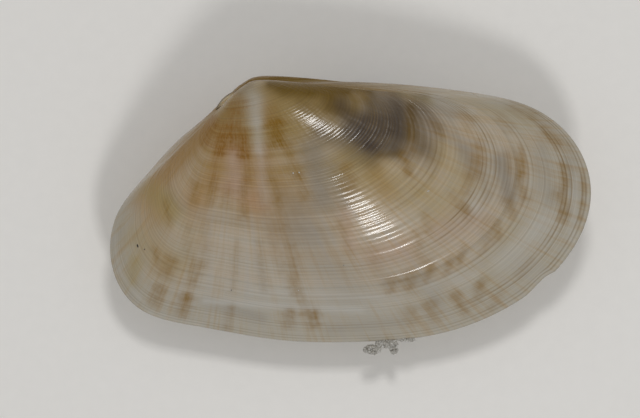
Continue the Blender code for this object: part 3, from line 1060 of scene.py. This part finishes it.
@dataclass(frozen=True)
class LigamentFinish:
    """Ligament: wet elastic conchiolin, horn brown with fibres along it, and paler where it bulges on top as
    a painted highlight.
    """

    # Colour of the painted highlight on the top of the pad.
    pale: str = "c2b08a"
    horn: str = "836a3f"
    brown: str = "3f2d17"
    # Fibres of 0.17 mm, eight times as long, along the pad.
    fibres_per_m: float = 6000.0
    fibre_stretch: tuple[float, float, float] = (8.0, 1.0, 1.0)
    fibre_turn_deg: float = 42.0

    def make(self) -> Material:
        """Builds the material."""
        made, tree, shader = new_material("elastic_conchiolin")
        place = add_node(tree, "TexCoord").outputs["Object"]
        turned = (0.0, 0.0, math.radians(self.fibre_turn_deg))
        inputs = {"Vector": place, "Rotation": turned, "Scale": self.fibre_stretch}
        fibres = add_node(tree, "Mapping", {"vector_type": "TEXTURE"}, inputs).outputs["Vector"]
        inputs = {"Vector": fibres, "Scale": self.fibres_per_m, "Detail": 3.0}
        streak = add_node(tree, "TexNoise", inputs=inputs).outputs["Fac"]
        limits = {"Value": streak, "From Min": 0.35, "From Max": 0.65}
        strands = add_node(tree, "MapRange", inputs=limits).outputs["Result"]
        layers = {FACTOR: strands, UNDER: linear(self.horn), OVER: linear(self.brown)}
        colour = add_node(tree, "Mix", MIX_COLOUR, layers).outputs[MIXED]
        # Painted highlight: the pad turns paler towards its top, where the light falls on it.
        raised = add_node(tree, "Attribute", {"attribute_name": "raised"}).outputs["Fac"]
        limits = {"Value": raised, "From Min": 0.66, "From Max": 0.92}
        painted_top_highlight = add_node(tree, "MapRange", inputs=limits).outputs["Result"]
        layers = {FACTOR: painted_top_highlight, UNDER: colour, OVER: linear(self.pale)}
        colour = add_node(tree, "Mix", MIX_COLOUR, layers).outputs[MIXED]
        relief = {"Strength": 0.5, "Distance": 0.02 * MM, "Height": streak}
        bump = add_node(tree, "Bump", inputs=relief).outputs["Normal"]
        fill(tree, shader, {"Base Color": colour, "Normal": bump, "Roughness": 0.35, "IOR": 1.53})
        radius = (1.0, 0.6, 0.3)
        scatter = {"Subsurface Weight": 0.2, "Subsurface Radius": radius, "Subsurface Scale": 0.4 * MM}
        fill(tree, shader, scatter)
        return made


@dataclass
class Ligament:
    """Short elastic pad over the joint of the valves, on the short side of the beaks."""

    rest: RestPose
    centre: tuple[float, float] = (-1.86, -1.06)
    half: tuple[float, float, float] = (1.20, 0.30, 0.70)
    taper: float = 1.6
    slope_deg: float = 222.0
    bunch_depth: float = 0.05
    bunches: int = 9
    columns: int = 64
    rows: int = 48

    def build(self, finish: Material) -> Object:
        """Oval body on latitude and longitude, with shallow waves along it where its fibres bunch.

        Args:
            finish: Its material.

        Returns:
            The finished object.
        """
        slope = math.radians(self.slope_deg)
        along = np.array([math.cos(slope), math.sin(slope), 0.0])
        across = np.array([math.sin(slope), -math.cos(slope), 0.0])
        upward = np.array([0.0, 0.0, 1.0])
        latitude = np.linspace(0, math.pi, self.rows + 2)[1:-1, None]
        longitude = 2 * math.pi * np.arange(self.columns)[None, :] / self.columns
        bunch = 1 + self.bunch_depth * np.sin(self.bunches * longitude + 2 * np.sin(3 * latitude))
        parts = (
            self.half[0] * np.cos(latitude) * np.ones_like(longitude),
            self.half[1] * bunch * np.sin(latitude) ** self.taper * np.cos(longitude),
            self.half[2] * bunch * np.sin(latitude) ** self.taper * np.sin(longitude),
        )
        middle = np.array([self.centre[0], self.centre[1], 0.0])
        rings = middle + sum(p[..., None] * d for p, d in zip(parts, (along, across, upward)))
        points, faces = capped_rings(rings)
        piece = make_piece("ligament_pad", self.rest.place(points), faces, [finish])
        # Height up the pad, which the material turns into a painted highlight on its top.
        store_number(piece, "raised", 0.5 + points[:, 2] / (2 * self.half[2]))
        return piece


@dataclass(frozen=True)
class SandFinish:
    """Wet shell grit and sand: off-white, grey and a few black grains, each with its own shade."""

    white: str = "d4d2cc"
    dark: str = "a09b90"
    black: str = "2b241b"
    # Flecks of 0.11 mm, about as wide as a grain.
    flecks_per_m: float = 9000.0

    def make(self) -> Material:
        """Builds the material, whose shade comes from the grain attribute."""
        made, tree, shader = new_material("wet_shell_grit")
        shade = add_node(tree, "Attribute", {"attribute_name": "grain"}).outputs["Fac"]
        place = add_node(tree, "TexCoord").outputs["Object"]
        inputs = {"Vector": place, "Scale": self.flecks_per_m, "Detail": 2.0}
        fleck = add_node(tree, "TexNoise", inputs=inputs).outputs["Fac"]
        settings = {"operation": "MULTIPLY_ADD", "use_clamp": True}
        mixed = add_node(tree, "Math", settings, {0: fleck, 1: 0.4, 2: shade}).outputs["Value"]
        layers = {FACTOR: mixed, UNDER: linear(self.white), OVER: linear(self.dark)}
        colour = add_node(tree, "Mix", MIX_COLOUR, layers).outputs[MIXED]
        limits = {"Value": shade, "From Min": 1.0, "From Max": 2.0}
        mineral = add_node(tree, "MapRange", inputs=limits).outputs["Result"]
        layers = {FACTOR: mineral, UNDER: colour, OVER: linear(self.black)}
        colour = add_node(tree, "Mix", MIX_COLOUR, layers).outputs[MIXED]
        relief = {"Strength": 0.6, "Distance": 0.03 * MM, "Height": fleck}
        bump = add_node(tree, "Bump", inputs=relief).outputs["Normal"]
        fill(tree, shader, {"Base Color": colour, "Normal": bump, "Roughness": 0.55, "IOR": 1.54})
        radius = (1.0, 1.0, 1.0)
        scatter = {"Subsurface Weight": 0.3, "Subsurface Radius": radius, "Subsurface Scale": 0.3 * MM}
        fill(tree, shader, scatter)
        return made


@dataclass
class Grit:
    """Wet grit: a crumb of many grains on the free edge, and a few stray grains on the upper valve, the white
    ones painted highlights of small glints.

    A grain is 0.05 to 0.1 mm, far finer than the crumb, so each is a ball of a few dozen faces.
    """

    rest: RestPose
    # Clumps of the crumb: middle x, y, half sizes along x, y and z in mm, number of grains.
    clumps: tuple[tuple[float, float, float, float, float, int], ...] = (
        (10.30, -22.00, 0.74, 0.36, 0.34, 330), (12.10, -22.03, 0.34, 0.38, 0.30, 140),
        (11.50, -21.52, 0.98, 0.34, 0.30, 420), (13.15, -21.18, 0.78, 0.10, 0.14, 90),
    )
    grain: float = 0.09
    size_spread: tuple[float, float] = (0.5, 1.5)
    shape_spread: tuple[float, float] = (0.7, 1.2)
    grey: float = 0.7
    black_above: float = 0.97
    bumpiness: float = 0.18
    # Stray grains: x, y and the valve's height there, long, middle and short half size in mm, direction in
    # degrees, shade. They are picked like the marks.
    strays: tuple[tuple[float, ...], ...] = (
        # The grains of shade 0 are white specks, and their white is a painted highlight of small glints on
        # the shell.
        (-9.24, -13.03, 1.79, 0.17, 0.07, 0.05, 105.0, 2.0),
        (-8.68, -13.29, 2.05, 0.06, 0.05, 0.04, 0.0, 1.8),
        (-1.47, -16.67, 2.39, 0.06, 0.06, 0.04, 0.0, 1.6), (7.81, -14.39, 4.35, 0.06, 0.05, 0.04, 0.0, 1.3),
        (5.32, -13.51, 4.59, 0.05, 0.05, 0.04, 0.0, 1.2), (3.61, -6.57, 6.10, 0.07, 0.07, 0.05, 0.0, 0.0),
        (4.11, -6.51, 6.18, 0.07, 0.06, 0.05, 0.0, 0.0), (14.71, -8.15, 5.25, 0.13, 0.05, 0.04, 20.0, 0.0),
        (4.07, -16.62, 3.07, 0.05, 0.05, 0.04, 0.0, 0.0),
    )
    columns: int = 8
    rows: int = 4

    def crumb(self, finish: Material) -> Object:
        """Fills every clump evenly with grains of many sizes and directions.

        Args:
            finish: Its material.

        Returns:
            The finished object.
        """
        draw = np.random.default_rng(31)
        middles, halves, turns, shades = [], [], [], []
        for x, y, wide, deep, tall, count in self.clumps:
            toward = draw.normal(size=(count, 3))
            toward /= np.linalg.norm(toward, axis=1)[:, None]
            spread = toward * draw.uniform(0, 1, (count, 1)) ** (1 / 3)
            middles.append(spread * (wide, deep, tall) + (x, y, 0.0))
            sizes = self.grain * draw.uniform(*self.size_spread, (count, 1))
            halves.append(sizes * draw.uniform(*self.shape_spread, (count, 3)))
            turns.append(draw.uniform(0, 2 * math.pi, (count, 3)))
            greys = draw.uniform(0, self.grey, count)
            shades.append(greys + (draw.uniform(0, 1, count) > self.black_above))
        parts = (np.concatenate(part) for part in (middles, halves, turns, shades))
        return self.grains("sand_crumb_grains", *parts, finish)

    def stray(self, finish: Material) -> Object:
        """Lays the stray grains on the upper valve, each half sunk in its wet surface.

        Args:
            finish: Its material.

        Returns:
            The finished object.
        """
        table = np.array(self.strays)
        turns = np.zeros((len(table), 3))
        turns[:, 2] = np.radians(table[:, 6])
        return self.grains("stray_grit_and_glint_specks", table[:, :3], table[:, 3:6], turns, table[:, 7], finish)

    def grains(
        self,
        name: str,
        middles: np.ndarray,
        halves: np.ndarray,
        turns: np.ndarray,
        shades: np.ndarray,
        finish: Material,
    ) -> Object:
        """Makes small rounded lumps: latitude and longitude balls, each bumpy, stretched, turned and moved.

        Args:
            name: The piece's name.
            middles: Middle of each grain, in mm.
            halves: Half sizes of each grain, in mm.
            turns: Three angles of each grain.
            shades: Shade of each grain, 0 white, 1 grey, 2 black.
            finish: The grains' material.

        Returns:
            The finished object.
        """
        latitude = np.linspace(0, math.pi, self.rows + 2)[1:-1, None]
        longitude = 2 * math.pi * np.arange(self.columns)[None, :] / self.columns
        ball = np.stack(
            [
                np.sin(latitude) * np.cos(longitude),
                np.sin(latitude) * np.sin(longitude),
                np.cos(latitude) * np.ones_like(longitude),
            ],
            axis=2,
        )
        draw = np.random.default_rng(37)
        points, faces, kept = [], [], []
        start = 0
        for middle, half, turn, shade in zip(middles, halves, turns, shades):
            bumpy = ball * (1 + self.bumpiness * draw.uniform(-1, 1, ball.shape[:2]))[..., None]
            own, parts = capped_rings(bumpy)
            points.append(own * half @ np.array(Euler(tuple(turn)).to_matrix()).T + middle)
            faces.append([part + start for part in parts])
            kept.append(np.full(len(own), shade))
            start += len(own)
        quads = np.concatenate([part[0] for part in faces])
        fans = np.concatenate([fan for part in faces for fan in part[1:]])
        piece = make_piece(name, self.rest.place(np.concatenate(points)), [quads, fans], [finish])
        store_number(piece, "grain", np.concatenate(kept))
        return piece


@dataclass(frozen=True)
class PaperFinish:
    """Backdrop paper: plain, pale and matt, with a faint cloud of fibres."""

    pale: str = "f2f0ec"
    # Clouds of 1 mm.
    clouds_per_m: float = 900.0

    def make(self) -> Material:
        """Builds the material."""
        made, tree, shader = new_material("matt_backdrop_paper")
        place = add_node(tree, "TexCoord").outputs["Object"]
        inputs = {"Vector": place, "Scale": self.clouds_per_m, "Detail": 3.0}
        cloud = add_node(tree, "TexNoise", inputs=inputs).outputs["Fac"]
        shade = add_node(tree, "MapRange", inputs={"Value": cloud, "To Min": 0.98, "To Max": 1.02})
        scaled = {0: linear(self.pale)[:3], "Scale": shade.outputs["Result"]}
        colour = add_node(tree, "VectorMath", {"operation": "SCALE"}, scaled).outputs["Vector"]
        fill(tree, shader, {"Base Color": colour, "Roughness": 0.9})
        return made


@dataclass
class Studio:
    """Pale floor, two softboxes on either side of the shell and an even surround."""

    rest: RestPose
    floor_half: float = 0.6
    # Softboxes: name, direction from the shell, width in m, power in W.
    boxes: tuple[tuple[str, tuple[float, float, float], float, float], ...] = (
        ("hinge_side_softbox", (0.03, 0.47, 0.88), 0.060, 0.25),
        ("free_edge_softbox", (0.16, -0.63, 0.76), 0.056, 0.25),
    )
    # Where they point, in mm of the shell's own frame, and how far off they stand, in m.
    aim: tuple[float, float, float] = (8.0, -9.0, 4.0)
    box_distance: float = 0.32
    surround: float = 0.33

    def build(self) -> Object:
        """Builds floor, lights and surround, and returns the floor."""
        half = self.floor_half
        points = np.array([(-half, -half, 0), (half, -half, 0), (half, half, 0), (-half, half, 0)], float)
        floor = make_piece("studio_floor", points, [np.array([[0, 1, 2, 3]])], [PaperFinish().make()])
        target = Vector(self.rest.place(np.array([self.aim]))[0])
        for name, toward, size, power in self.boxes:
            lamp = bpy.data.lights.new(name, "AREA")
            lamp.shape = "SQUARE"
            lamp.size = size
            lamp.energy = power
            light = bpy.data.objects.new(name, lamp)
            away = Vector(toward).normalized()
            light.location = target + away * self.box_distance
            light.rotation_euler = away.to_track_quat("Z", "Y").to_euler()
            light.visible_camera = False
            bpy.context.collection.objects.link(light)
        world = bpy.data.worlds.new("studio_surround")
        world.use_nodes = True
        back = world.node_tree.nodes["Background"]
        back.inputs["Color"].default_value = (1.0, 1.0, 1.0, 1.0)
        back.inputs["Strength"].default_value = self.surround
        bpy.context.scene.world = world
        bpy.context.scene.view_settings.view_transform = "Standard"
        return floor


@dataclass
class PhotoCamera:
    """Camera at the photograph's viewing angle: almost straight down, leaning a little to the free edge."""

    rest: RestPose
    tip_deg: float = 6.0
    swing_deg: float = 1.0
    lens: float = 250.0
    sensor: float = 36.0
    # A place in the margin's plane that the camera leans about, and how far the frame's middle lies to the
    # right of it and above it, all in mm.
    pivot: tuple[float, float, float] = (7.167, -9.0, 0.0)
    offset_mm: tuple[float, float] = (-1.25, -1.167)

    def build(self) -> Object:
        """Makes the camera, with its frame's width in the plane of the margin as the photograph has it."""
        tip, swing = math.radians(self.tip_deg), math.radians(self.swing_deg)
        right = self.rest.direction((math.cos(swing), 0.0, math.sin(swing)))
        up = self.rest.direction((0.0, math.cos(tip), -math.sin(tip)))
        back = right.cross(up).normalized()
        up = back.cross(right).normalized()
        centre = Vector(self.rest.place(np.array([self.pivot]))[0])
        centre += right * self.offset_mm[0] * MM + up * self.offset_mm[1] * MM
        width = PHOTO_WIDTH_PX / PX_PER_MM * MM
        distance = width * self.lens / self.sensor
        lens = bpy.data.cameras.new("photo_camera")
        lens.lens = self.lens
        lens.sensor_width = self.sensor
        lens.clip_start = 0.01
        lens.clip_end = 5.0
        camera = bpy.data.objects.new("photo_camera", lens)
        frame_axes = Matrix((right, up, back)).transposed().to_4x4()
        camera.matrix_world = Matrix.Translation(centre + back * distance) @ frame_axes
        bpy.context.collection.objects.link(camera)
        bpy.context.scene.camera = camera
        return camera


def hand_in(piece: Object, node: str | None) -> None:
    """Rides the piece on the one body, in place of its CAD node where it has one, and reports it.

    Args:
        piece: The finished object.
        node: The CAD node that it stands for, or None.
    """
    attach(piece, "root")
    if node is not None:
        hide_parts(node)
    LOG.info("%s: %d faces, for %s", piece.name, len(piece.data.polygons), node)


def main() -> None:
    """Builds the shell's pieces in order, then the studio and the camera."""
    logging.basicConfig(level=logging.INFO, format="%(name)s: %(message)s")
    form = GrowthForm()
    rest = RestPose(form)
    inside = ShellInside().make()
    outside = ShellOutside()
    for side, seed in ((Side.UPPER, 0.0), (Side.LOWER, 7.3)):
        finish = outside.make(f"glossy_aragonite_{side.name.lower()}", seed)
        valve = Valve(side, form, rest).build(finish, inside)
        hand_in(valve, f"{side.name.lower()}_valve")
    hand_in(Ligament(rest).build(LigamentFinish().make()), "ligament")
    grit = Grit(rest)
    sand = SandFinish().make()
    hand_in(grit.crumb(sand), "sand_crumb")
    hand_in(grit.stray(sand), None)
    Studio(rest).build()
    PhotoCamera(rest).build()


if __name__ == "__main__":
    main()
